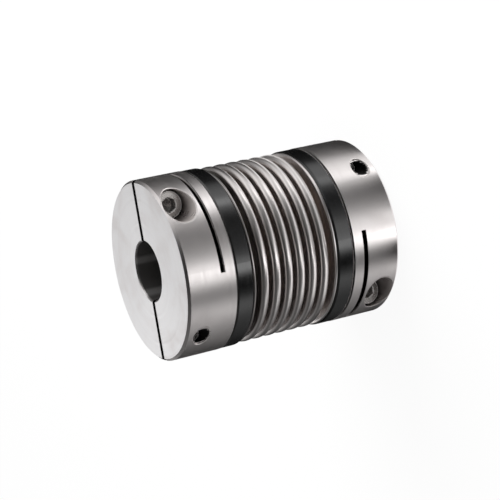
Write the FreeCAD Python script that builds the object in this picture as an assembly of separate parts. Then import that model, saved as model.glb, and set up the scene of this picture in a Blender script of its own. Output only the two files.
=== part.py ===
import FreeCAD, Part
import math
import os

# Flexible shaft coupling: a thin metal bellows between two clamp hubs.
# Millimetres. +Z runs along the shaft axis, the origin is the centre of the lower hub's end face.
# X is the direction of the clamp screws, and the hubs' end slits lie in the plane X = 0.

# Hubs
hub_d = 55.0  # outside diameter
bore_d = 18.0  # shaft bore
end_chamfer = 0.75  # on the end face's rim
joint_chamfer = 0.45  # on the rim towards the ring
bore_chamfer = 0.5
slit_w = 1.4  # slit across the end face
saw_cut_w = 1.5  # cut across the axis that frees each jaw
saw_cut_overrun = 1.5  # how far that cut runs past the middle of the hub
pocket_edge = 0.45  # from the end face to the screw pocket
pocket_wall = 1.08  # from the screw pocket to the saw cut
back_wall = 3.52  # from the saw cut to the back of the flange

# Clamp screws
thread_d = 5.0
screw_length = 20.0  # under the head
head_d = 8.5
head_h = 5.0
head_chamfer = 0.55
hex_af = 4.0  # across the socket's flats
hex_depth = 2.6
hex_rim_d = 4.9  # outside of the bevel round the socket
hex_rim_angle = 120.0
socket_angle = 118.0  # of the drill point under the socket
tip_chamfer = 0.5
screw_inset = 8.25  # from the hub's rim in to the screw's axis
seat_x = 7.0  # from the slit's plane to the face under the head
pocket_clearance = 0.45  # around the head
shank_clearance = 0.25  # around the screw in the free jaw
thread_clearance = 0.05  # around the screw in the fixed side
edge_break = 0.25  # on the mouths of the pockets and of the tapped holes

# Rings
collar_inset = 0.1  # lower than the hub's rim
collar_w = 5.25
collar_chamfer = 0.4

# Bellows
wave_count = 6
bellows_wall = 0.3
crest_inset = 0.35  # lower than the hub's rim
wave_height = 6.8
crest_w = 2.7
valley_gap = 1.33
end_gap = 1.875  # between the last wave and the end fold
fold_gap = 0.35  # inside the pressed end fold
fold_inset = 0.4  # lower than the hub's rim
cuff_bend = 0.3
cuff_short = 0.5  # how much shorter the cuff is than its ring
bond_film = 0.05  # adhesive round the cuff and behind the end fold

# Worked out from the sizes above
hub_r = hub_d / 2
bore_r = bore_d / 2
pocket_r = head_d / 2 + pocket_clearance
screw_from_end = pocket_edge + pocket_r
saw_cut_near = screw_from_end + pocket_r + pocket_wall
saw_cut_far = saw_cut_near + saw_cut_w
flange_l = saw_cut_far + back_wall
screw_y = screw_inset - hub_r  # the screw that enters from +X lies on the -Y side
crest_r = hub_r - crest_inset
root_r = crest_r - wave_height
spigot_r = root_r - bellows_wall - bond_film
hub_l = flange_l + collar_w
fold_w = 2 * bellows_wall + fold_gap
bellows_span = wave_count * crest_w + (wave_count - 1) * valley_gap + 2 * end_gap + 2 * fold_w
length = 2 * hub_l + 2 * bond_film + bellows_span
beyond = 1.0  # how far cutting tools reach past the metal
tolerance = 0.001  # for telling where an edge lies

UP = FreeCAD.Vector(0, 0, 1)
ALONG_X = FreeCAD.Vector(1, 0, 0)
ORIGIN = FreeCAD.Vector(0, 0, 0)


def at(r, z):
    return FreeCAD.Vector(r, 0, z)


def turned(points):
    """A solid of revolution about Z from (radius, height) corners."""
    corners = [at(r, z) for r, z in points]
    outline = Part.makePolygon(corners + corners[:1])
    return Part.Face(outline).revolve(ORIGIN, UP, 360)


def round_bar(r, x0, x1, y, z):
    """A cylinder along X between two places."""
    return Part.makeCylinder(r, x1 - x0, FreeCAD.Vector(x0, y, z), ALONG_X)


def box(x0, x1, y0, y1, z0, z1):
    return Part.makeBox(x1 - x0, y1 - y0, z1 - z0, FreeCAD.Vector(x0, y0, z0))


def half_turn(shape):
    """The shape turned half a turn about the shaft axis."""
    copy = shape.copy()
    copy.rotate(ORIGIN, UP, 180)
    return copy


def turned_over(shape):
    """The shape turned end for end about the coupling's middle."""
    copy = shape.copy()
    copy.rotate(FreeCAD.Vector(0, 0, length / 2), ALONG_X, 180)
    return copy


def hub_blank():
    """Flange and spigot with the shaft bore, end face at Z = 0."""
    return turned([
        (bore_r + bore_chamfer, 0),
        (hub_r - end_chamfer, 0),
        (hub_r, end_chamfer),
        (hub_r, flange_l - joint_chamfer),
        (hub_r - joint_chamfer, flange_l),
        (spigot_r, flange_l),
        (spigot_r, hub_l - joint_chamfer),
        (spigot_r - joint_chamfer, hub_l),
        (bore_r + bore_chamfer, hub_l),
        (bore_r, hub_l - bore_chamfer),
        (bore_r, bore_chamfer),
    ])


def screw_cutter():
    """What one clamp screw takes out of a hub: pocket, clearance hole and a tapped hole open at its far end."""
    outside = hub_r + beyond
    pocket = round_bar(pocket_r, seat_x, outside, screw_y, screw_from_end)
    clearance = round_bar(thread_d / 2 + shank_clearance, 0, seat_x, screw_y, screw_from_end)
    tapped = round_bar(thread_d / 2 + thread_clearance, -outside, 0, screw_y, screw_from_end)
    return pocket.multiFuse([clearance, tapped])


def is_mouth(edge):
    """Whether an edge is where a screw's pocket or hole opens through the hub's outside."""
    points = edge.discretize(9)
    outside = all(math.hypot(p.x, p.y) > hub_r - end_chamfer - tolerance for p in points)
    away = [math.hypot(abs(p.y) - abs(screw_y), p.z - screw_from_end) for p in points]
    return outside and max(away) < pocket_r + tolerance


def hub():
    """Clamp hub with its end face at Z = 0; each end slit lets one jaw close towards the screw's thread."""
    reach = hub_r + beyond
    slit = box(-slit_w / 2, slit_w / 2, -reach, reach, -beyond, saw_cut_far)
    saw_cut = box(-slit_w / 2, reach, -reach, saw_cut_overrun, saw_cut_near, saw_cut_far)
    screw = screw_cutter()
    body = hub_blank().cut([slit, saw_cut, half_turn(saw_cut), screw, half_turn(screw)])
    return body.makeChamfer(edge_break, [edge for edge in body.Edges if is_mouth(edge)])


def hex_socket(depth, x_top):
    """Hexagonal hole with a drill point and a bevelled rim, open towards +X at x_top."""
    corner_r = hex_af / 2 / math.cos(math.pi / 6)
    corners = []
    for i in range(7):
        a = math.pi / 6 + i * math.pi / 3
        corners.append(FreeCAD.Vector(x_top - depth, corner_r * math.cos(a), corner_r * math.sin(a)))
    prism = Part.Face(Part.makePolygon(corners)).extrude(FreeCAD.Vector(depth + beyond, 0, 0))
    point_h = hex_af / 2 / math.tan(math.radians(socket_angle / 2))
    point = Part.makeCone(0, hex_af / 2, point_h, FreeCAD.Vector(x_top - depth - point_h, 0, 0), ALONG_X)
    rim_r = hex_rim_d / 2
    rim_h = rim_r / math.tan(math.radians(hex_rim_angle / 2))
    rim = Part.makeCone(0, rim_r, rim_h, FreeCAD.Vector(x_top - rim_h, 0, 0), ALONG_X)
    return prism.multiFuse([point, rim])


def clamp_screw():
    """Socket-head cap screw in its place at +X in a hub whose end face is at Z = 0."""
    half_d = thread_d / 2
    head_r = head_d / 2
    x_tip = seat_x - screw_length
    x_top = seat_x + head_h
    profile = [
        (x_tip, 0),
        (x_tip, half_d - tip_chamfer),
        (x_tip + tip_chamfer, half_d),
        (seat_x, half_d),
        (seat_x, head_r),
        (x_top - head_chamfer, head_r),
        (x_top, head_r - head_chamfer),
        (x_top, 0),
    ]
    corners = [FreeCAD.Vector(x, y, 0) for x, y in profile]
    outline = Part.makePolygon(corners + corners[:1])
    body = Part.Face(outline).revolve(ORIGIN, ALONG_X, 360)
    screw = body.cut(hex_socket(hex_depth, x_top))
    screw.translate(FreeCAD.Vector(0, screw_y, screw_from_end))
    return screw


def collar():
    """Ring on the lower hub's spigot, face to face with the flange."""
    inner_r = root_r + bond_film
    outer_r = hub_r - collar_inset
    return turned([
        (inner_r, flange_l),
        (outer_r - collar_chamfer, flange_l),
        (outer_r, flange_l + collar_chamfer),
        (outer_r, hub_l - collar_chamfer),
        (outer_r - collar_chamfer, hub_l),
        (inner_r + collar_chamfer, hub_l),
        (inner_r, hub_l - collar_chamfer),
    ])


def bends(z_start):
    """The bellows' turns from end to end: (height, half width, radius of the turn's centre, sign), crests +1."""
    turns = []
    z = z_start
    for i in range(wave_count + 2):
        at_end = i in (0, wave_count + 1)
        half = (fold_w if at_end else crest_w) / 2
        top_r = hub_r - fold_inset if at_end else crest_r
        turns.append((z + half, half, top_r - half, 1))
        z = z + 2 * half
        if i <= wave_count:
            gap = end_gap if i in (0, wave_count) else valley_gap
            turns.append((z + gap / 2, gap / 2, root_r + gap / 2, -1))
            z = z + gap
    return turns


def skin(turns, depth):
    """Edges of one skin of the sheet, depth below the outside, from the lower cuff's end to the upper one's."""
    first_z = turns[0][0] - turns[0][1]
    last_z = turns[-1][0] + turns[-1][1]
    cuff_end = collar_w - cuff_short
    edges = []

    def line(a, b):
        edges.append(Part.LineSegment(a, b).toShape())

    def arc(r, z, radius, start, mid, end):
        ends = [at(r + radius * math.cos(a), z + radius * math.sin(a)) for a in (start, mid, end)]
        edges.append(Part.Arc(*ends).toShape())
        return ends[2]

    bend_r = cuff_bend + depth
    corner_r = root_r + cuff_bend
    z = first_z - cuff_bend
    line(at(root_r - depth, first_z - cuff_end), at(root_r - depth, z))
    here = arc(corner_r, z, bend_r, math.pi, 0.75 * math.pi, math.pi / 2)
    for z, half, centre_r, sign in turns:
        radius = half - sign * depth
        line(here, at(centre_r, z - radius))
        middle = 0 if sign > 0 else -math.pi
        here = arc(centre_r, z, radius, -math.pi / 2, middle, math.pi / 2 if sign > 0 else -1.5 * math.pi)
    z = last_z + cuff_bend
    line(here, at(corner_r, z - bend_r))
    here = arc(corner_r, z, bend_r, -math.pi / 2, -0.75 * math.pi, -math.pi)
    line(here, at(root_r - depth, last_z + cuff_end))
    return edges


def bellows():
    """One sheet folded into waves, with a cuff under each ring."""
    turns = bends(hub_l + bond_film)
    outside = skin(turns, 0)
    inside = skin(turns, bellows_wall)
    first = [edges[0].Vertexes[0].Point for edges in (outside, inside)]
    last = [edges[-1].Vertexes[-1].Point for edges in (outside, inside)]
    ends = [Part.LineSegment(*first).toShape(), Part.LineSegment(*last).toShape()]
    section = Part.Wire(Part.__sortEdges__(outside + inside + ends))
    return Part.Face(section).revolve(ORIGIN, UP, 360)


def save(name, shape):
    solid = shape.Solids[0] if len(shape.Solids) == 1 else shape
    print(name, "valid" if solid.isValid() else "NOT VALID", len(shape.Solids), round(solid.Volume, 1))
    solid.exportStep(os.path.join("parts", name + ".step"))


os.makedirs("parts", exist_ok=True)
lower_hub = hub()
lower_collar = collar()
lower_screw = clamp_screw()

# The upper hub is the lower one turned over, so its free jaw at +X is on the +Y side.
save("top_hub", turned_over(lower_hub))
save("bottom_hub", lower_hub)
save("top_collar", turned_over(lower_collar))
save("bottom_collar", lower_collar)
save("bellows", bellows())
save("top_screw_a", turned_over(lower_screw))
save("top_screw_b", turned_over(half_turn(lower_screw)))
save("bottom_screw_a", lower_screw)
save("bottom_screw_b", half_turn(lower_screw))
print("length", length, "diameter", hub_d)
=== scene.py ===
import math

import bmesh
import bpy
from mathutils import Matrix, Vector


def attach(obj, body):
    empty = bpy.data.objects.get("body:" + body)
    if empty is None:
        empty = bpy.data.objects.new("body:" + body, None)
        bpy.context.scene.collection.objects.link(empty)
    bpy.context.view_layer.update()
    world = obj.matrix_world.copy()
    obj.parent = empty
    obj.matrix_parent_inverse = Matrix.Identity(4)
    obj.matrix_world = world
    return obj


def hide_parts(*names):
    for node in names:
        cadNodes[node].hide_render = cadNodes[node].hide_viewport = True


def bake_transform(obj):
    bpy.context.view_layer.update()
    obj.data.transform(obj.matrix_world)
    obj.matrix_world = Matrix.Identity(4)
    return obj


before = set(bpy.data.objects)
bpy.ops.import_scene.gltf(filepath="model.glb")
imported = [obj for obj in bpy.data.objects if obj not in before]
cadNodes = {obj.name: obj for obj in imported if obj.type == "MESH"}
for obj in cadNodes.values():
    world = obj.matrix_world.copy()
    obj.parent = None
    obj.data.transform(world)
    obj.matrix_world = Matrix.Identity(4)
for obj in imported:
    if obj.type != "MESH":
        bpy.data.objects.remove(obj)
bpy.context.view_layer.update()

# A flexible shaft coupling that stands on one end face. Its axis is Z, and sizes are in millimetres.
mm = 0.001
middle = 35.5  # height of the coupling's middle
weld = 0.0005  # points of a mesh that are closer than this become one


# Small helpers

def objectFrom(bm, name, angle=38):
    # a bmesh in millimetres becomes an object at the origin, in metres
    bmesh.ops.scale(bm, vec=(mm, mm, mm), verts=bm.verts)
    mesh = bpy.data.meshes.new(name)
    bm.to_mesh(mesh)
    bm.free()
    mesh.polygons.foreach_set("use_smooth", [True] * len(mesh.polygons))
    mesh.set_sharp_from_angle(angle=math.radians(angle))
    made = bpy.data.objects.new(name, mesh)
    bpy.context.scene.collection.objects.link(made)
    return made


def rotate(bm, axis, angle, height=0):
    bmesh.ops.rotate(bm, cent=(0, 0, height), matrix=Matrix.Rotation(angle, 3, axis), verts=bm.verts)


def turnOver(bm):
    # the upper half of the coupling is the lower one turned over
    rotate(bm, "X", math.pi, middle)


def dress(piece, material):
    piece.data.materials.clear()
    piece.data.materials.append(material)


def addNode(tree, kind, inputs=(), **settings):
    made = tree.nodes.new(kind)
    for key, value in settings.items():
        setattr(made, key, value)
    for key, value in inputs.items() if isinstance(inputs, dict) else enumerate(inputs):
        if isinstance(value, bpy.types.NodeSocket):
            tree.links.new(value, made.inputs[key])
        elif value is not None:
            made.inputs[key].default_value = value
    return made


def calc(tree, operation, *values, clamp=False):
    return addNode(tree, "ShaderNodeMath", values, operation=operation, use_clamp=clamp).outputs[0]


def product(tree, first, *others):
    for value in others:
        first = calc(tree, "MULTIPLY", first, value)
    return first


def addShares(tree, base, *parts):
    # the base, plus each value times its share
    for value, share in parts:
        base = calc(tree, "ADD", base, product(tree, value, share))
    return base


def without(tree, mask):
    return calc(tree, "SUBTRACT", 1.0, mask)


def ramp(tree, value, low, high, toLow=0.0, toHigh=1.0):
    # soft step: toLow where value is under low, toHigh over high
    return addNode(tree, "ShaderNodeMapRange", {"Value": value, "From Min": low, "From Max": high,
                                                "To Min": toLow, "To Max": toHigh},
                   interpolation_type="SMOOTHSTEP").outputs["Result"]


def fall(tree, value, low, high):
    # soft step down: 1 where value is under low, 0 over high
    return ramp(tree, value, low, high, 1.0, 0.0)


def mixColour(tree, amount, first, second):
    return addNode(tree, "ShaderNodeMix", {0: amount, 6: first, 7: second}, data_type="RGBA").outputs[2]


def lengthOf(tree, x, y):
    flat = addNode(tree, "ShaderNodeCombineXYZ", [x, y, 0.0]).outputs[0]
    return addNode(tree, "ShaderNodeVectorMath", [flat], operation="LENGTH").outputs["Value"]


def place(tree):
    # position on the piece in millimetres, and its x, y, z
    where = addNode(tree, "ShaderNodeTexCoord").outputs["Object"]
    scaled = addNode(tree, "ShaderNodeMapping", {"Vector": where, "Scale": (1 / mm,) * 3}).outputs[0]
    split = addNode(tree, "ShaderNodeSeparateXYZ", [scaled])
    return scaled, split.outputs[0], split.outputs[1], split.outputs[2]


def emptyMaterial(name):
    material = bpy.data.materials.new(name)
    material.use_nodes = True
    material.node_tree.nodes.clear()
    return material, material.node_tree


def newMaterial(name, shaderValues):
    material, tree = emptyMaterial(name)
    shader = addNode(tree, "ShaderNodeBsdfPrincipled", shaderValues)
    addNode(tree, "ShaderNodeOutputMaterial", {"Surface": shader.outputs[0]})
    return material, tree, shader


# Camera: the photograph's viewing angle, with the axis lying across the picture
print("camera")
cameraView = {
    "azimuth": 97.477,
    "elevation": 25.264,
    "roll": -102.681,
    "aim": (-0.417, -0.496, 36.514),
    "distance": 515.485,
    "lens": 120.898,
    "clipStart": 10.0,
}


def addCamera(view):
    a, e, r = (math.radians(view[k]) for k in ("azimuth", "elevation", "roll"))
    back = Vector((math.sin(a) * math.cos(e), -math.cos(a) * math.cos(e), math.sin(e)))
    level = Vector((math.cos(a), math.sin(a), 0))
    right = math.cos(r) * level + math.sin(r) * back.cross(level)
    data = bpy.data.cameras.new("camera")
    data.lens = view["lens"]
    data.clip_start = view["clipStart"] * mm
    camera = bpy.data.objects.new("camera", data)
    bpy.context.scene.collection.objects.link(camera)
    turn = Matrix((right, back.cross(right), back)).transposed().to_4x4()
    spot = (Vector(view["aim"]) + back * view["distance"]) * mm
    camera.matrix_world = Matrix.Translation(spot) @ turn
    bpy.context.scene.camera = camera
    return spot / mm


eye = addCamera(cameraView)
bpy.context.scene.view_settings.view_transform = "Standard"


# Stage: a white floor, a pale room, a soft lamp, and screens that only the metal mirrors
print("stage")
stageSettings = {
    "room": 0.80,
    "paper": 0.90,
    "ownLight": 0.90,  # how much of the floor's white is its own
    "floorSize": 4000,
    "floorHeight": -0.02,
    "lamps": [
        # name, place, aim, width, height, watts
        ("overheadLamp", (-150, 450, 420), (0, 0, 35), 500, 300, 3.0),
    ],
    "hubRadius": 27.5,
    "fanHeight": 0.4,
    "fanColumns": 2,  # for each degree
    # rows of the floor screen: reach, and share of the far tone
    "fanRows": ((0, 0), (55, 0), (100, 1), (1600, 1)),
    # brightness of the floor screen, by the azimuth on the hub's side that mirrors it: near, and far
    "fanTones": (
        (-10, 0.02, 0.02), (15, 0.01, 0.01), (25, 0.04, 0.04), (30, 0.12, 0.06), (35, 0.72, 0.50),
        (40, 0.98, 0.80), (44, 1.00, 0.98), (46.5, 1.24, 1.35), (47.5, 1.60, 2.00), (51, 1.35, 2.10),
        (52, 0.96, 1.30), (54, 0.45, 0.70), (58, 0.18, 0.24), (62, 0.11, 0.11), (66, 0.15, 0.13),
        (70, 0.24, 0.16), (75, 0.44, 0.20), (80, 0.92, 0.25), (85, 1.00, 0.47), (88, 1.20, 1.10),
        (90, 1.60, 1.80), (91, 1.90, 2.20), (94, 2.00, 2.50), (95, 1.45, 1.60), (98, 0.50, 0.25),
        (100, 0.13, 0.09), (105, 0.02, 0.02), (110, 0.25, 0.20), (115, 0.66, 0.78), (120, 0.52, 0.65),
        (125, 0.33, 0.38), (130, 0.22, 0.26), (140, 0.16, 0.14), (150, 0.07, 0.04), (160, 0.02, 0.02),
        (195, 0.05, 0.05)),
    "domeRadius": 1300,
    "domeSegments": (72, 36),
    # brightness of the screen overhead, by azimuth: at the horizon, and at domeHigh degrees up
    "domeTones": (
        (-110, 1.86, 0.38), (-96, 1.70, 0.36), (-82, 0.35, 0.20), (-60, 0.03, 0.12), (-40, 0.08, 0.80),
        (-20, 0.60, 1.35), (5, 0.80, 0.80), (25, 0.55, 0.20), (40, 0.15, 0.06), (75, 0.10, 0.02),
        (115, 0.10, 0.03), (155, 0.08, 0.05), (180, 0.05, 0.10), (200, 0.04, 0.20), (215, 0.04, 0.25),
        (235, 0.30, 0.30), (250, 1.86, 0.38)),
    "domeHigh": 55,
    "zenithTone": 0.05,
    "zenithFade": (65, 85),  # degrees up
    "ringHeight": 22.0,
    "ringGap": 0.6,
    "ringWidth": 16.0,
    "ringSegments": 72,
    "ringFade": (0.50, 1.50),  # share of the tone at its inner and outer edge
    # brightness of the ring round the lower hub, by azimuth
    "ringTones": (
        (-180, 0.05), (-100, 0.50), (-20, 0.90), (50, 1.00), (75, 0.68), (88, 0.42), (97, 0.38),
        (105, 1.30), (113, 1.20), (122, 1.10), (135, 0.65), (142, 0.25), (155, 0.06), (180, 0.05)),
    "shadeRadius": 26.5,
    "shadeHeight": -0.01,
}


def plainStage(name, bm):
    made = objectFrom(bm, name)
    return made


def addFloor(values):
    bm = bmesh.new()
    bmesh.ops.create_grid(bm, x_segments=1, y_segments=1, size=values["floorSize"])
    bmesh.ops.translate(bm, vec=(0, 0, values["floorHeight"]), verts=bm.verts)
    floor = plainStage("floor", bm)
    material, tree = emptyMaterial("whitePaper")
    lit = addNode(tree, "ShaderNodeBsdfDiffuse", {"Color": (values["paper"],) * 3 + (1,)})
    own = addNode(tree, "ShaderNodeEmission", {"Strength": 1.0})
    ray = addNode(tree, "ShaderNodeLightPath").outputs
    seen = calc(tree, "ADD", calc(tree, "ADD", ray["Is Camera Ray"], ray["Is Glossy Ray"]),
                ray["Is Transmission Ray"], clamp=True)
    mixed = addNode(tree, "ShaderNodeMixShader",
                    [product(tree, seen, values["ownLight"]), lit.outputs[0], own.outputs[0]])
    addNode(tree, "ShaderNodeOutputMaterial", {"Surface": mixed.outputs[0]})
    floor.data.materials.append(material)


def shareOf(value, low, high):
    return min(max((value - low) / (high - low), 0.0), 1.0)


def between(knots, value, column=1):
    # straight lines through the knots
    for low, high in zip(knots, knots[1:]):
        if value <= high[0]:
            return low[column] + (high[column] - low[column]) * shareOf(value, low[0], high[0])
    return knots[-1][column]


def azimuthOf(spot):
    return math.degrees(math.atan2(spot.x, spot.y))


def addScreen(name, bm, toneAt, oneSided=False):
    # a shape that glows by its "tone" attribute, and that only mirrored rays meet
    tones = [toneAt(v.co) for v in bm.verts]
    screen = plainStage(name, bm)
    screen.data.attributes.new("tone", "FLOAT", "POINT").data.foreach_set("value", tones)
    material, tree = emptyMaterial(name)
    tone = addNode(tree, "ShaderNodeAttribute", attribute_name="tone").outputs["Fac"]
    if oneSided:
        back = addNode(tree, "ShaderNodeNewGeometry").outputs["Backfacing"]
        tone = product(tree, tone, without(tree, back))
    glow = addNode(tree, "ShaderNodeEmission", {"Color": (1, 1, 1, 1), "Strength": tone})
    addNode(tree, "ShaderNodeOutputMaterial", {"Surface": glow.outputs[0]})
    screen.data.materials.append(material)
    screen.visible_camera = False
    screen.visible_diffuse = False
    screen.visible_shadow = False
    screen.visible_transmission = False


def mirrored(azimuth, reach, values):
    # where on the floor a level ray from the eye lands after the hub's side turns it, reach on
    a = math.radians(azimuth)
    out = Vector((math.sin(a), math.cos(a), 0))
    start = out * values["hubRadius"]
    inward = (start - Vector((eye.x, eye.y, 0))).normalized()
    away = inward - 2 * inward.dot(out) * out
    return start + away * reach


def addFan(values):
    knots, rows = values["fanTones"], values["fanRows"]
    first, last = knots[0][0], knots[-1][0]
    bm = bmesh.new()
    columns = values["fanColumns"] * (last - first)
    bmesh.ops.create_grid(bm, x_segments=columns, y_segments=len(rows) - 1, size=1)
    tones = []
    for v in bm.verts:
        azimuth = first + (v.co.x + 1) / 2 * (last - first)
        reach, share = rows[round((v.co.y + 1) / 2 * (len(rows) - 1))]
        near, far = (between(knots, azimuth, column) for column in (1, 2))
        tones.append(near + (far - near) * share)
        spot = mirrored(azimuth, reach, values)
        v.co = (spot.x, spot.y, values["fanHeight"])
    tones = iter(tones)
    addScreen("floorScreen", bm, lambda spot: next(tones))


def addDome(values):
    bm = bmesh.new()
    around, up = values["domeSegments"]
    bmesh.ops.create_uvsphere(bm, u_segments=around, v_segments=up, radius=values["domeRadius"])
    bmesh.ops.bisect_plane(bm, geom=bm.verts[:] + bm.edges[:] + bm.faces[:], plane_co=(0, 0, 0),
                           plane_no=(0, 0, -1), clear_outer=True)
    knots = values["domeTones"]

    def toneAt(spot):
        azimuth = azimuthOf(spot)
        azimuth = azimuth if azimuth > knots[0][0] else azimuth + 360
        rise = math.degrees(math.asin(max(-1.0, min(1.0, spot.normalized().z))))
        low, high = (between(knots, azimuth, column) for column in (1, 2))
        tone = low + (high - low) * shareOf(rise, 0, values["domeHigh"])
        return tone + (values["zenithTone"] - tone) * shareOf(rise, *values["zenithFade"])

    addScreen("overheadScreen", bm, toneAt)


def addRing(values):
    bm = bmesh.new()
    inner = values["hubRadius"] + values["ringGap"]
    bm.verts.new((inner, 0, values["ringHeight"]))
    bm.verts.new((inner + values["ringWidth"], 0, values["ringHeight"]))
    edge = bm.edges.new(bm.verts[:])
    bmesh.ops.spin(bm, geom=[edge, *edge.verts], cent=(0, 0, 0), axis=(0, 0, 1), angle=2 * math.pi,
                   steps=values["ringSegments"], use_merge=True, use_duplicate=False)
    bmesh.ops.recalc_face_normals(bm, faces=bm.faces)
    if bm.faces[:][0].normal.z < 0:
        bmesh.ops.reverse_faces(bm, faces=bm.faces)

    def toneAt(spot):
        share = (spot.xy.length - inner) / values["ringWidth"]
        low, high = values["ringFade"]
        return between(values["ringTones"], azimuthOf(spot)) * (low + (high - low) * share)

    addScreen("ringScreen", bm, toneAt, oneSided=True)


def addShade(values):
    # the dark under the coupling, as the bore mirrors it
    bm = bmesh.new()
    bmesh.ops.create_circle(bm, segments=64, radius=values["shadeRadius"], cap_ends=True)
    bmesh.ops.translate(bm, vec=(0, 0, values["shadeHeight"]), verts=bm.verts)
    addScreen("underShade", bm, lambda spot: 0.0)


def addLamp(name, spot, aim, width, height, watts):
    data = bpy.data.lights.new(name, "AREA")
    data.shape = "RECTANGLE"
    data.size = width * mm
    data.size_y = height * mm
    data.energy = watts
    lamp = bpy.data.objects.new(name, data)
    bpy.context.scene.collection.objects.link(lamp)
    lamp.visible_glossy = False
    turn = (Vector(spot) - Vector(aim)).to_track_quat("Z", "Y").to_matrix().to_4x4()
    lamp.matrix_world = Matrix.Translation(Vector(spot) * mm) @ turn


def addRoom(values):
    world = bpy.data.worlds.new("room")
    bpy.context.scene.world = world
    world.use_nodes = True
    background = world.node_tree.nodes["Background"]
    background.inputs["Color"].default_value = (values["room"],) * 3 + (1,)
    background.inputs["Strength"].default_value = 1.0


for addPiece in (addFloor, addRoom, addFan, addDome, addRing, addShade):
    addPiece(stageSettings)
for lamp in stageSettings["lamps"]:
    addLamp(*lamp)


# Shared effects, as node groups
print("node groups")
effectSettings = {
    "coarseMarks": 0.17,  # scale of the slow changes along the turning marks
    "wornPatches": 0.09,  # scale of the patches where the marks are shallow
    "wornRange": (0.3, 0.7),
    "wornDepth": 0.45,
    "smudgeRange": (0.42, 0.72),
    "scratchTurn": (0.6, 0.3, 1.1),
    "scratchStretch": (0.35, 4.0, 3.0),
    "scratchRange": (0.66, 0.74),
    "scratchPatches": (0.45, 0.6),
    "dustScale": 0.9,
    "dustSize": (0.05, 0.09),
    "chamferLean": 0.707,
    "chamferRange": (0.1, 0.2),
}


def newGroup(name, inputs, outputs):
    tree = bpy.data.node_groups.new(name, "ShaderNodeTree")
    for label, kind, value in inputs:
        socket = tree.interface.new_socket(name=label, in_out="INPUT", socket_type=kind)
        if value is not None:
            socket.default_value = value
    for label in outputs:
        tree.interface.new_socket(name=label, in_out="OUTPUT", socket_type="NodeSocketFloat")
    return tree, addNode(tree, "NodeGroupInput").outputs, addNode(tree, "NodeGroupOutput")


def finishGroup(tree, end, **results):
    for label, value in results.items():
        tree.links.new(value, end.inputs[label])
    return tree


def turningMarksGroup(values):
    # rings that a lathe tool leaves: they follow the distance from the axis plus the height
    tree, given, end = newGroup(
        "turningMarks",
        [("Position", "NodeSocketVector", None), ("Spacing", "NodeSocketFloat", 0.2)],
        ["Height", "Tone"],
    )
    split = addNode(tree, "ShaderNodeSeparateXYZ", [given["Position"]]).outputs
    radius = lengthOf(tree, split[0], split[1])
    along = calc(tree, "DIVIDE", calc(tree, "ADD", radius, split[2]), given["Spacing"])
    fine = addNode(tree, "ShaderNodeTexNoise", {"W": along, "Scale": 1.0, "Detail": 2.0, "Roughness": 0.6},
                   noise_dimensions="1D").outputs[0]
    coarse = addNode(tree, "ShaderNodeTexNoise", {"W": along, "Scale": values["coarseMarks"], "Detail": 1.0,
                                                  "Roughness": 0.5}, noise_dimensions="1D").outputs[0]
    patches = addNode(tree, "ShaderNodeTexNoise", {"Vector": given["Position"], "Detail": 2.0,
                                                   "Scale": values["wornPatches"]}).outputs[0]
    depth = ramp(tree, patches, *values["wornRange"], values["wornDepth"], 1.0)
    return finishGroup(tree, end, Height=product(tree, fine, depth), Tone=coarse)


def handlingGroup(values):
    # faint smudges, fine scratches in all directions, and specks of dust
    tree, given, end = newGroup(
        "handling",
        [("Position", "NodeSocketVector", None), ("Size", "NodeSocketFloat", 9.0)],
        ["Smudge", "Scratch", "Dust"],
    )
    position = given["Position"]
    scale = calc(tree, "DIVIDE", 1.0, given["Size"])
    cloud = addNode(tree, "ShaderNodeTexNoise", {"Vector": position, "Scale": scale, "Detail": 4.0,
                                                 "Roughness": 0.55, "Distortion": 0.6}).outputs[0]
    stretched = addNode(tree, "ShaderNodeMapping", {"Vector": position, "Rotation": values["scratchTurn"],
                                                    "Scale": values["scratchStretch"]}).outputs[0]
    lines = addNode(tree, "ShaderNodeTexNoise", {"Vector": stretched, "Scale": 1.0, "Detail": 1.0}).outputs[0]
    scratch = product(tree, ramp(tree, lines, *values["scratchRange"]),
                      ramp(tree, cloud, *values["scratchPatches"]))
    specks = addNode(tree, "ShaderNodeTexVoronoi", {"Vector": position, "Scale": values["dustScale"]})
    return finishGroup(tree, end, Smudge=ramp(tree, cloud, *values["smudgeRange"]), Scratch=scratch,
                       Dust=fall(tree, specks.outputs["Distance"], *values["dustSize"]))


def rimGroup(values):
    # 1 on the turned chamfers, whose normals lean half way towards the axis
    tree, given, end = newGroup("rims", [("Normal", "NodeSocketVector", None)], ["Rim"])
    lean = calc(tree, "ABSOLUTE", addNode(tree, "ShaderNodeSeparateXYZ", [given["Normal"]]).outputs[2])
    off = calc(tree, "ABSOLUTE", calc(tree, "SUBTRACT", lean, values["chamferLean"]))
    return finishGroup(tree, end, Rim=fall(tree, off, *values["chamferRange"]))


turningMarks, handling, rims = (make(effectSettings) for make in (turningMarksGroup, handlingGroup, rimGroup))


def useGroup(tree, group, **inputs):
    return addNode(tree, "ShaderNodeGroup", inputs, node_tree=group).outputs


def surfaceNormal(tree):
    return addNode(tree, "ShaderNodeTexCoord").outputs["Normal"]


def bump(tree, height, strength, distance, under=None):
    return addNode(tree, "ShaderNodeBump", {"Height": height, "Strength": strength, "Distance": distance * mm,
                                            "Normal": under}).outputs[0]


def wire(tree, shader, inputs):
    for name, value in inputs.items():
        tree.links.new(value, shader.inputs[name])


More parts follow.
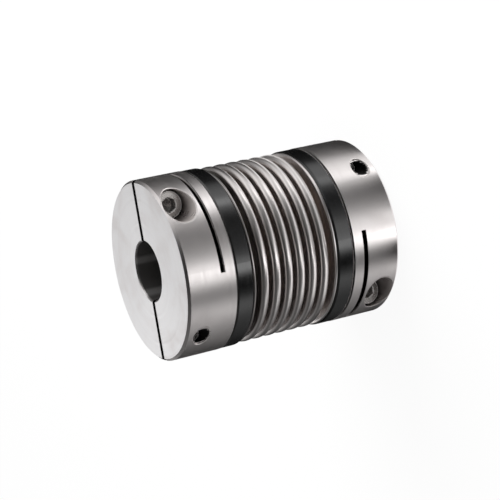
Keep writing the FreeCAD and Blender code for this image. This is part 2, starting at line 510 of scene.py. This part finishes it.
# Materials
print("materials")
hubFinish = {
    "bright": (0.83, 0.79, 0.78, 1),
    "endFace": (0.795, 0.785, 0.79, 1),
    "shade": (0.75, 0.705, 0.695, 1),
    # painted shade: the dark walls of the slits and saw cuts
    "cutWallShade": (0.04, 0.038, 0.037, 1),
    # painted shade inside the bores
    "boreWallShade": (0.18, 0.172, 0.168, 1),
    "boreReflectionColour": (0.45, 0.44, 0.435, 1),
    "boreReflectionLines": ((-7.0, 0.28, 1.4), (2.75, 0.34, 1.7)),  # painted reflections: light lines along a bore: place in Y, core, reach
    "boreScatter": 0.15,
    # painted light on the pocket walls, and painted shade deep in the pocket
    "pocketWall": (0.66, 0.61, 0.59, 1),
    "pocketDeepShade": (0.20, 0.175, 0.17, 1),
    "pocketDepths": (21.0, 27.2),  # distance from the shaft axis: deep, and at the skin
    "pocketRise": (0.0, 3.5),  # distance from the screw's axis towards the end face, over which painted shade darkens the pocket
    "pocketShadeDim": 0.6,
    "pocketScatter": 0.40,
    # painted highlight round the mouths' broken edges, and painted light on the saw cuts' lower walls
    "edge": (0.92, 0.87, 0.85, 1),
    "roughness": 0.32,
    "markRoughness": 0.10,
    "smudgeRoughness": 0.04,
    "rimPolish": 0.10,
    "anisotropy": 0.2,
    "smudgeSize": 11.0,
    "smudgeShare": 0.5,
    "scratchDepth": 0.6,  # against the turning marks
    "markSpacing": 0.16,
    "markDepth": 0.012,
    "markStrength": 0.5,
    "edgeWidth": 0.4,
    "edgeDepth": 0.32,
    "slitEdge": 0.32,
    # painted shade beside the end slits: inner and outer edge of the dark strip
    "slitEdgeShade": (0.20, 0.26),
}
# where the hub's places start and end; a pair is the two ends of a soft step
hubPlaces = {
    "skinRadius": (27.05, 27.2),
    "skinEnd": (35.2, 35.4),  # from the middle
    "skinChamfer": (61.9, 62.1),  # both added up
    "endFace": (35.3, 35.45),
    "boreRadius": (9.2, 9.6),
    "slitWidth": 1.4,
    "sawWall": 23.12,  # from the middle: just above the lower wall of the saw cut
    "sawDepths": (26.0, 27.1),  # distance from the shaft axis: deep, and at the skin
    "screwAxis": (19.25, 30.35),  # beside the shaft axis, and up or down from the middle
    "holeRadius": 2.55,
    "pocketRadius": 4.7,
    "pocketMouth": (0.05, 0.1),  # outside the mouth
    "shankHole": (2.8, 2.9),
    "edgeInner": (0.0, 0.05),  # outside the mouth
    "edgeOuter": (0.24, 0.4),
    "edgeRadius": (27.0, 27.2),
}


def hubMasks(tree, at, x, y, z):
    # measures and masks that tell the hub's places apart; a mask is 1 in its place
    radius = lengthOf(tree, x, y)
    height = calc(tree, "SUBTRACT", z, middle)
    fromMiddle = calc(tree, "ABSOLUTE", height)
    # the walls of the slits, pockets and bores lie inside the turned skin
    inside = product(tree, fall(tree, radius, *at["skinRadius"]), fall(tree, fromMiddle, *at["skinEnd"]),
                     fall(tree, calc(tree, "ADD", radius, fromMiddle), *at["skinChamfer"]))
    # the slits end at the saw cuts, whose lower walls get painted light a little way in
    beside = calc(tree, "SUBTRACT", calc(tree, "ABSOLUTE", x), at["slitWidth"] / 2)
    belowSaw = calc(tree, "LESS_THAN", fromMiddle, at["sawWall"])
    sawWall = product(tree, inside, belowSaw, ramp(tree, radius, *at["sawDepths"]))
    # past: how far a point lies outside the mouth of its pocket or tapped hole, which face opposite ways
    aside = calc(tree, "SUBTRACT", calc(tree, "ABSOLUTE", y), at["screwAxis"][0])
    above = calc(tree, "SUBTRACT", fromMiddle, at["screwAxis"][1])
    fromScrew = lengthOf(tree, aside, above)
    isPocket = calc(tree, "GREATER_THAN", product(tree, x, y, height), 0.0)
    mouth = addShares(tree, at["holeRadius"], (isPocket, at["pocketRadius"] - at["holeRadius"]))
    past = calc(tree, "SUBTRACT", fromScrew, mouth)
    pocket = product(tree, isPocket, fall(tree, past, *at["pocketMouth"]),
                     ramp(tree, fromScrew, *at["shankHole"]))
    onEdge = product(tree, ramp(tree, past, *at["edgeInner"]), fall(tree, past, *at["edgeOuter"]),
                     ramp(tree, radius, *at["edgeRadius"]))
    return {
        "radius": radius, "above": above, "beside": beside, "past": past, "belowSaw": belowSaw,
        "sawWall": sawWall, "pocketWall": product(tree, inside, pocket), "edge": onEdge,
        "otherWall": product(tree, inside, without(tree, pocket)),
        "bore": fall(tree, radius, *at["boreRadius"]),
        "endFace": ramp(tree, fromMiddle, *at["endFace"]),
    }


def hubColour(tree, values, masks, y, smudge):
    skin = mixColour(tree, masks["endFace"], values["bright"], values["endFace"])
    colour = mixColour(tree, product(tree, smudge, values["smudgeShare"]), skin, values["shade"])
    # painted reflections: light lines along the bore walls
    onBoreReflection = 0.0
    for centre, core, reach in values["boreReflectionLines"]:
        off = calc(tree, "ABSOLUTE", calc(tree, "SUBTRACT", y, centre))
        onBoreReflection = calc(tree, "MAXIMUM", onBoreReflection, fall(tree, off, core, reach))
    bore = mixColour(tree, onBoreReflection, values["boreWallShade"], values["boreReflectionColour"])
    # painted shade: dark walls in the slits, saw cuts and bores
    wall = mixColour(tree, masks["bore"], values["cutWallShade"], bore)
    colour = mixColour(tree, masks["otherWall"], colour, wall)
    # painted light and shade in the pockets: lit near the skin, shaded deeper in and towards the end face
    lit = calc(tree, "SUBTRACT", ramp(tree, masks["radius"], *values["pocketDepths"]),
               ramp(tree, masks["above"], *values["pocketRise"], 0.0, values["pocketShadeDim"]), clamp=True)
    wall = mixColour(tree, lit, values["pocketDeepShade"], values["pocketWall"])
    colour = mixColour(tree, masks["pocketWall"], colour, wall)
    # painted light on the saw cuts' lower walls, and painted highlight on the broken mouth edges
    colour = mixColour(tree, calc(tree, "MAXIMUM", masks["sawWall"], masks["edge"]), colour, values["edge"])
    # painted shade: a dark strip on the skin beside the end slits
    slitEdgeShade = product(tree, fall(tree, masks["beside"], *values["slitEdgeShade"]), without(tree, masks["belowSaw"]))
    return mixColour(tree, slitEdgeShade, colour, values["cutWallShade"])


def hubMaterial(values, places):
    material, tree, shader = newMaterial("turnedAluminium", {
        "Anisotropic": values["anisotropy"], "Anisotropic Rotation": 0.25})
    position, x, y, z = place(tree)
    masks = hubMasks(tree, places, x, y, z)
    marks = useGroup(tree, turningMarks, Position=position, Spacing=values["markSpacing"])
    wear = useGroup(tree, handling, Position=position, Size=values["smudgeSize"])
    rim = useGroup(tree, rims, Normal=surfaceNormal(tree))["Rim"]
    # the pockets and the broken edges round the mouths scatter more than the other cuts
    pale = calc(tree, "MAXIMUM", masks["sawWall"], calc(tree, "MAXIMUM", masks["pocketWall"], masks["edge"]))
    scatter = calc(tree, "ADD", product(tree, masks["otherWall"], masks["bore"], values["boreScatter"]),
                   product(tree, pale, values["pocketScatter"]))
    rough = addShares(tree, values["roughness"], (marks["Tone"], values["markRoughness"]),
                      (wear["Smudge"], values["smudgeRoughness"]), (rim, -values["rimPolish"]))
    scratch = product(tree, wear["Scratch"], without(tree, masks["pocketWall"]), values["scratchDepth"])
    # the edges of the mouths and of the end slits are broken
    slitEdge = ramp(tree, masks["beside"], 0.0, values["slitEdge"])
    slitEdge = calc(tree, "MAXIMUM", slitEdge, masks["belowSaw"])
    brokenEdge = calc(tree, "MINIMUM", ramp(tree, masks["past"], 0.0, values["edgeWidth"]), slitEdge)
    edge = bump(tree, brokenEdge, 1.0, values["edgeDepth"])
    height = calc(tree, "SUBTRACT", marks["Height"], scratch)
    # the tangent runs round the axis, so that the highlights stretch across the turning marks
    tangent = addNode(tree, "ShaderNodeCombineXYZ", [product(tree, y, -1.0), x, 0.0]).outputs[0]
    wire(tree, shader, {
        "Base Color": hubColour(tree, values, masks, y, wear["Smudge"]),
        "Metallic": without(tree, scatter),
        "Roughness": rough,
        "Tangent": tangent,
        "Normal": bump(tree, height, values["markStrength"], values["markDepth"], under=edge),
    })
    return material


collarFinish = {
    "black": (0.002, 0.002, 0.0022, 1),
    "worn": (0.009, 0.0087, 0.0084, 1),
    "wornShare": 0.6,
    "dust": (0.12, 0.12, 0.12, 1),
    "dustShare": 0.5,
    "film": 1.80,  # refractive index of the anodised film
    "roughness": 0.11,
    "markRoughness": 0.10,
    "smudgeRoughness": 0.06,
    "smudgeSize": 7.0,
    "markSpacing": 0.13,
    "markDepth": 0.010,
    "markStrength": 0.5,
}


def collarMaterial(values):
    material, tree, shader = newMaterial("blackAnodised", {"Metallic": 0.0, "IOR": values["film"]})
    position = place(tree)[0]
    marks = useGroup(tree, turningMarks, Position=position, Spacing=values["markSpacing"])
    wear = useGroup(tree, handling, Position=position, Size=values["smudgeSize"])
    rim = useGroup(tree, rims, Normal=surfaceNormal(tree))["Rim"]
    colour = mixColour(tree, product(tree, rim, values["wornShare"]), values["black"], values["worn"])
    colour = mixColour(tree, product(tree, wear["Dust"], values["dustShare"]), colour, values["dust"])
    rough = addShares(tree, values["roughness"], (marks["Tone"], values["markRoughness"]),
                      (wear["Smudge"], values["smudgeRoughness"]))
    normal = bump(tree, marks["Height"], values["markStrength"], values["markDepth"])
    wire(tree, shader, {"Base Color": colour, "Roughness": rough, "Normal": normal})
    return material


steelFinish = {
    "crest": (0.83, 0.79, 0.775, 1),
    # painted shade in the valleys of the waves
    "valley": (0.60, 0.53, 0.49, 1),
    "foldShade": (0.40, 0.38, 0.37, 1),
    "foldShadeFrom": (46.7, 47.1),  # painted shade: the upper end fold and the valley before it are darker than the waves
    "depths": (21.0, 25.5),  # distance from the shaft axis: valley, and crest
    "roughness": 0.30,
    "smudgeRoughness": 0.06,
    "valleyRoughness": 0.12,
    "smudgeSize": 6.0,
    "markSpacing": 0.3,
    "markDepth": 0.004,
    "markStrength": 0.5,
}


def steelMaterial(values):
    material, tree, shader = newMaterial("formedSteel", {"Metallic": 1.0})
    position, x, y, z = place(tree)
    marks = useGroup(tree, turningMarks, Position=position, Spacing=values["markSpacing"])
    wear = useGroup(tree, handling, Position=position, Size=values["smudgeSize"])
    depth = fall(tree, lengthOf(tree, x, y), *values["depths"])
    # painted shade: the valleys are darker than the crests
    colour = mixColour(tree, depth, values["crest"], values["valley"])
    # painted shade on the upper end fold and the valley before it
    colour = mixColour(tree, ramp(tree, z, *values["foldShadeFrom"]), colour, values["foldShade"])
    rough = addShares(tree, values["roughness"], (wear["Smudge"], values["smudgeRoughness"]),
                      (depth, values["valleyRoughness"]))
    normal = bump(tree, marks["Height"], values["markStrength"], values["markDepth"])
    wire(tree, shader, {"Base Color": colour, "Roughness": rough, "Normal": normal})
    return material


screwFinish = {
    "bright": (0.95, 0.92, 0.90, 1),
    "dark": (0.22, 0.21, 0.20, 1),
    "deepShadeShare": 0.7,
    # painted shade on the head's flat top
    "flat": (0.60, 0.57, 0.55, 1),
    "flatFacing": (0.97, 0.995),
    "topFrom": (11.7, 11.95),  # from the slit's plane; the socket and the thread lie deeper and get painted shade
    "metallic": 0.8,
    "edgeScatter": 0.5,
    "roughness": 0.24,
    "smudgeRoughness": 0.10,
    "smudgeSize": 2.5,
    "scratchDepth": 0.01,
    "scratchStrength": 0.3,
}


def screwMaterial(values):
    material, tree, shader = newMaterial("platedScrew", {})
    position, x = place(tree)[:2]
    wear = useGroup(tree, handling, Position=position, Size=values["smudgeSize"])
    depth = fall(tree, calc(tree, "ABSOLUTE", x), *values["topFrom"])
    # painted shade on everything below the head's top
    colour = mixColour(tree, product(tree, depth, values["deepShadeShare"]), values["bright"], values["dark"])
    # painted shade: the head's flat top is darker than the turned edges round it
    facing = calc(tree, "ABSOLUTE", addNode(tree, "ShaderNodeSeparateXYZ", [surfaceNormal(tree)]).outputs[0])
    top = without(tree, depth)
    isFlat = ramp(tree, facing, *values["flatFacing"])
    colour = mixColour(tree, product(tree, isFlat, top), colour, values["flat"])
    turned = product(tree, without(tree, isFlat), top)
    wire(tree, shader, {
        "Base Color": colour,
        "Metallic": addShares(tree, values["metallic"], (turned, -values["edgeScatter"])),
        "Roughness": addShares(tree, values["roughness"], (wear["Smudge"], values["smudgeRoughness"])),
        "Normal": bump(tree, wear["Scratch"], values["scratchStrength"], values["scratchDepth"]),
    })
    return material


hubMetal = hubMaterial(hubFinish, hubPlaces)
blackAnodised = collarMaterial(collarFinish)
formedSteel = steelMaterial(steelFinish)
platedScrew = screwMaterial(screwFinish)

print("hubs and rings")
for name in ("top_hub", "bottom_hub"):
    dress(cadNodes[name], hubMetal)
for name in ("top_collar", "bottom_collar"):
    dress(cadNodes[name], blackAnodised)


# Bellows: one thin sheet folded into waves, built as two halves that meet in the middle valley
print("bellows")
bellowsSizes = {
    "waves": 6,
    "wall": 0.3,
    "crestRadius": 27.15,
    "rootRadius": 20.35,
    "crestWidth": 2.7,
    "valleyGap": 1.33,
    "endGap": 1.875,
    "foldRadius": 27.1,
    "foldWidth": 0.95,
    "foldStart": 21.25,
    "cuffStart": 16.5,
    "cuffBend": 0.3,
    "bendSteps": 4,
    "foldSteps": 8,
    "crestSteps": 16,
    "valleySteps": 10,
    "around": 176,
}


def walkTo(bm, tip, radius, height):
    made = bmesh.ops.extrude_vert_indiv(bm, verts=[tip])["verts"][0]
    made.co = (radius, 0, height)
    return made


def turnRound(bm, tip, radius, height, degrees, steps):
    # swings the end of the line round a centre, anticlockwise with Z up and the radius to the right
    swung = bmesh.ops.spin(bm, geom=[tip], cent=(radius, 0, height), axis=(0, -1, 0),
                           angle=math.radians(degrees), steps=steps, use_duplicate=False)
    return [v for v in swung["geom_last"] if isinstance(v, bmesh.types.BMVert)][0]


def bellowsHalf(s, name, upper):
    bm = bmesh.new()
    bend = s["cuffBend"]
    tip = bm.verts.new((s["rootRadius"], 0, s["cuffStart"]))
    tip = walkTo(bm, tip, s["rootRadius"], s["foldStart"] - bend)
    tip = turnRound(bm, tip, s["rootRadius"] + bend, s["foldStart"] - bend, -90, s["bendSteps"])
    z, width, top, gap, steps = s["foldStart"], s["foldWidth"], s["foldRadius"], s["endGap"], s["foldSteps"]
    lastWave = s["waves"] // 2
    for wave in range(lastWave + 1):
        centre = top - width / 2
        tip = walkTo(bm, tip, centre, z)
        tip = turnRound(bm, tip, centre, z + width / 2, 180, steps)
        z += width
        root = s["rootRadius"] + gap / 2
        tip = walkTo(bm, tip, root, z)
        # the half ends at the bottom of the middle valley
        share = 0.5 if wave == lastWave else 1
        tip = turnRound(bm, tip, root, z + gap / 2, -180 * share, int(s["valleySteps"] * share))
        z += gap
        width, top, gap, steps = s["crestWidth"], s["crestRadius"], s["valleyGap"], s["crestSteps"]
    bmesh.ops.remove_doubles(bm, verts=bm.verts, dist=weld)
    bmesh.ops.spin(bm, geom=bm.verts[:] + bm.edges[:], cent=(0, 0, 0), axis=(0, 0, 1),
                   angle=2 * math.pi, steps=s["around"], use_merge=True, use_duplicate=False)
    bmesh.ops.remove_doubles(bm, verts=bm.verts, dist=weld)
    if upper:
        turnOver(bm)
    bmesh.ops.recalc_face_normals(bm, faces=bm.faces)
    outermost = max(bm.faces, key=lambda face: face.calc_center_median().xy.length)
    if outermost.normal.dot(outermost.calc_center_median()) < 0:
        bmesh.ops.reverse_faces(bm, faces=bm.faces)
    bmesh.ops.solidify(bm, geom=bm.faces[:], thickness=s["wall"])
    return objectFrom(bm, name)


ringFace = bellowsSizes["foldStart"]
for name, upper, bodies, ends in (
    ("lower_waves", False, ("lower_group", "bellows_body"), (ringFace, middle)),
    ("upper_waves", True, ("bellows_body", "upper_group"), (middle, 2 * middle - ringFace)),
):
    piece = bellowsHalf(bellowsSizes, name, upper)
    dress(piece, formedSteel)
    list(bodies)
    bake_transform(piece)
    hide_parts("bellows")


# Clamp screws: knurled head, hexagon socket and a cut thread
print("clamp screws")
threadForm = {
    "pitch": 0.8,
    "ridge": ((0.0, False), (0.33, True), (0.43, True), (0.76, False)),  # height, and whether it is the crest
    "stepsEachTurn": 28,
}
screwSizes = {
    "headRadius": 4.25,
    "headHeight": 5.0,
    "headEdge": 0.55,
    "edgeSteps": 6,
    "headFoot": 0.15,
    "knurlFrom": 0.5,
    "knurlTo": 4.2,
    "knurlRun": 0.1,
    "knurlDepth": 0.11,
    "shankRadius": 2.5,
    "coreRadius": 2.08,
    "length": 20.0,
    "tipEdge": 0.5,
    "tipRise": 0.3,
    "threadEnd": -0.9,
    "neck": (-0.5, -0.2),
    "neckFlare": 0.2,
    "threadLength": 18.9,
    "threadRoot": 2.04,
    "socketFlats": 4.0,
    "socketDepth": 2.6,
    "socketRim": 2.45,
    "socketChamfer": 0.26,
    "socketFloor": 1.88,
    "drillPoint": (0.15, 1.05),  # radius, and depth under the socket's floor
    "ringInset": 0.06,
    "seat": 7.0,  # from the slit's plane
    "offset": 19.25,
    "fromEnd": 5.15,
    "around": 96,
}


def grow(bm, loop, radius, height, flats=None, knurl=0.0):
    # the next ring of the turned shape; flats makes it a hexagon and knurl notches every second point
    made = bmesh.ops.extrude_edge_only(bm, edges=loop)["geom"]
    edges = [g for g in made if isinstance(g, bmesh.types.BMEdge) and g.is_boundary]
    points = {v for e in edges for v in e.verts}
    for v in points:
        angle = math.atan2(v.co.y, v.co.x)
        reach = radius
        if flats:
            reach = flats / 2 / math.cos((angle + math.pi / 6) % (math.pi / 3) - math.pi / 6)
        if knurl and round(angle / (2 * math.pi) * screwSizes["around"]) % 2:
            reach -= knurl
        v.co = (math.cos(angle) * reach, math.sin(angle) * reach, height)
    return edges


def headRings(s):
    # radius, height and knurl depth of each ring from under the head to the socket's rim
    yield s["headRadius"] - s["headFoot"], 0, 0
    yield s["headRadius"], s["headFoot"], 0
    yield s["headRadius"], s["knurlFrom"], 0
    yield s["headRadius"], s["knurlFrom"] + s["knurlRun"], s["knurlDepth"]
    yield s["headRadius"], s["knurlTo"] - s["knurlRun"], s["knurlDepth"]
    yield s["headRadius"], s["knurlTo"], 0
    for step in range(s["edgeSteps"] + 1):
        turn = math.pi / 2 * step / s["edgeSteps"]
        yield (s["headRadius"] - s["headEdge"] * (1 - math.cos(turn)),
               s["headHeight"] - s["headEdge"] * (1 - math.sin(turn)), 0)
    topRadius = s["headRadius"] - s["headEdge"]
    for radius in (topRadius - s["ringInset"], s["socketRim"] + s["ringInset"], s["socketRim"]):
        yield radius, s["headHeight"], 0


def screwMesh(s):
    bm = bmesh.new()
    bmesh.ops.create_circle(bm, segments=s["around"], radius=s["coreRadius"] - s["tipEdge"], cap_ends=True)
    bmesh.ops.translate(bm, vec=(0, 0, -s["length"]), verts=bm.verts)
    loop = bm.edges[:]
    for radius, height in (
        (s["coreRadius"], -s["length"] + s["tipRise"]),
        (s["coreRadius"], s["threadEnd"]),
        (s["shankRadius"], s["neck"][0]),
        (s["shankRadius"], s["neck"][1]),
        (s["shankRadius"] + s["neckFlare"], 0),
    ):
        loop = grow(bm, loop, radius, height)
    for radius, height, knurl in headRings(s):
        loop = grow(bm, loop, radius, height, knurl=knurl)
    floor = s["headHeight"] - s["socketDepth"]
    drillRadius, drillDepth = s["drillPoint"]
    loop = grow(bm, loop, 0, s["headHeight"] - s["socketChamfer"], flats=s["socketFlats"])
    loop = grow(bm, loop, 0, floor, flats=s["socketFlats"])
    loop = grow(bm, loop, s["socketFloor"], floor)
    loop = grow(bm, loop, drillRadius, floor - drillDepth)
    bmesh.ops.edgeloop_fill(bm, edges=loop)
    return bm


def addThread(bm, form, start, length, root, crest):
    # a ridge with a closed section, swept up a helix; the copy of its section closes its start
    ridge = [bm.verts.new((crest if high else root, 0, start + rise)) for rise, high in form["ridge"]]
    face = bm.faces.new(ridge)
    bmesh.ops.duplicate(bm, geom=[face])
    turns = length / form["pitch"] - 1
    steps = round(turns * form["stepsEachTurn"])
    bmesh.ops.spin(bm, geom=[face], cent=(0, 0, 0), axis=(0, 0, 1), angle=2 * math.pi * turns,
                   steps=steps, dvec=(0, 0, turns * form["pitch"] / steps), use_duplicate=False)
    bmesh.ops.remove_doubles(bm, verts=bm.verts, dist=weld)


def addScrew(name, s, upper, farSide):
    bm = screwMesh(s)
    start = -s["length"] + s["tipRise"]
    addThread(bm, threadForm, start, s["threadLength"], s["threadRoot"], s["shankRadius"])
    bmesh.ops.recalc_face_normals(bm, faces=bm.faces)
    rotate(bm, "Y", math.pi / 2)
    bmesh.ops.translate(bm, vec=(s["seat"], -s["offset"], s["fromEnd"]), verts=bm.verts)
    if farSide:
        rotate(bm, "Z", math.pi)
    if upper:
        turnOver(bm)
    screw = objectFrom(bm, name, angle=30)
    dress(screw, platedScrew)
    return screw


for end in ("bottom", "top"):
    for side in ("a", "b"):
        node = f"{end}_screw_{side}"
        screw = addScrew(f"{node}_detail", screwSizes, end == "top", side == "b")
        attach(screw, node)
        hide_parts(node)


# Threads of the tapped holes, from the screws' ends to the hubs' skin
print("tapped threads")
tappedSizes = {
    "start": 13.1,  # from the slit's plane
    "length": 9.6,
    "rootRadius": 2.555,
    "crestRadius": 2.1,
    "skin": 27.05,
    "offset": 19.25,
    "fromEnd": 5.15,
}


def addTappedThreads(name, s, upper):
    made = bmesh.new()
    # the threads stop at the hub's round skin
    outwards = Vector((math.sqrt(s["skin"] ** 2 - s["offset"] ** 2), s["offset"], 0))
    for turn in (0, math.pi):
        bm = bmesh.new()
        addThread(bm, threadForm, s["start"], s["length"], s["rootRadius"], s["crestRadius"])
        rotate(bm, "Y", math.pi / 2)
        bmesh.ops.translate(bm, vec=(0, s["offset"], s["fromEnd"]), verts=bm.verts)
        cut = bmesh.ops.bisect_plane(bm, geom=bm.verts[:] + bm.edges[:] + bm.faces[:], plane_co=outwards,
                                     plane_no=outwards.normalized(), clear_outer=True)
        cutEdges = [g for g in cut["geom_cut"] if isinstance(g, bmesh.types.BMEdge)]
        bmesh.ops.holes_fill(bm, edges=cutEdges, sides=0)
        rotate(bm, "Z", turn)
        part = bpy.data.meshes.new("threadPart")
        bm.to_mesh(part)
        bm.free()
        made.from_mesh(part)
        bpy.data.meshes.remove(part)
    bmesh.ops.recalc_face_normals(made, faces=made.faces)
    if upper:
        turnOver(made)
    threads = objectFrom(made, name, angle=30)
    dress(threads, hubMetal)
    return threads


for end, body in (("bottom", "lower_group"), ("top", "upper_group")):
    threads = addTappedThreads(f"{end}_hub_threads", tappedSizes, end == "top")
    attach(threads, body)


print("scene made")
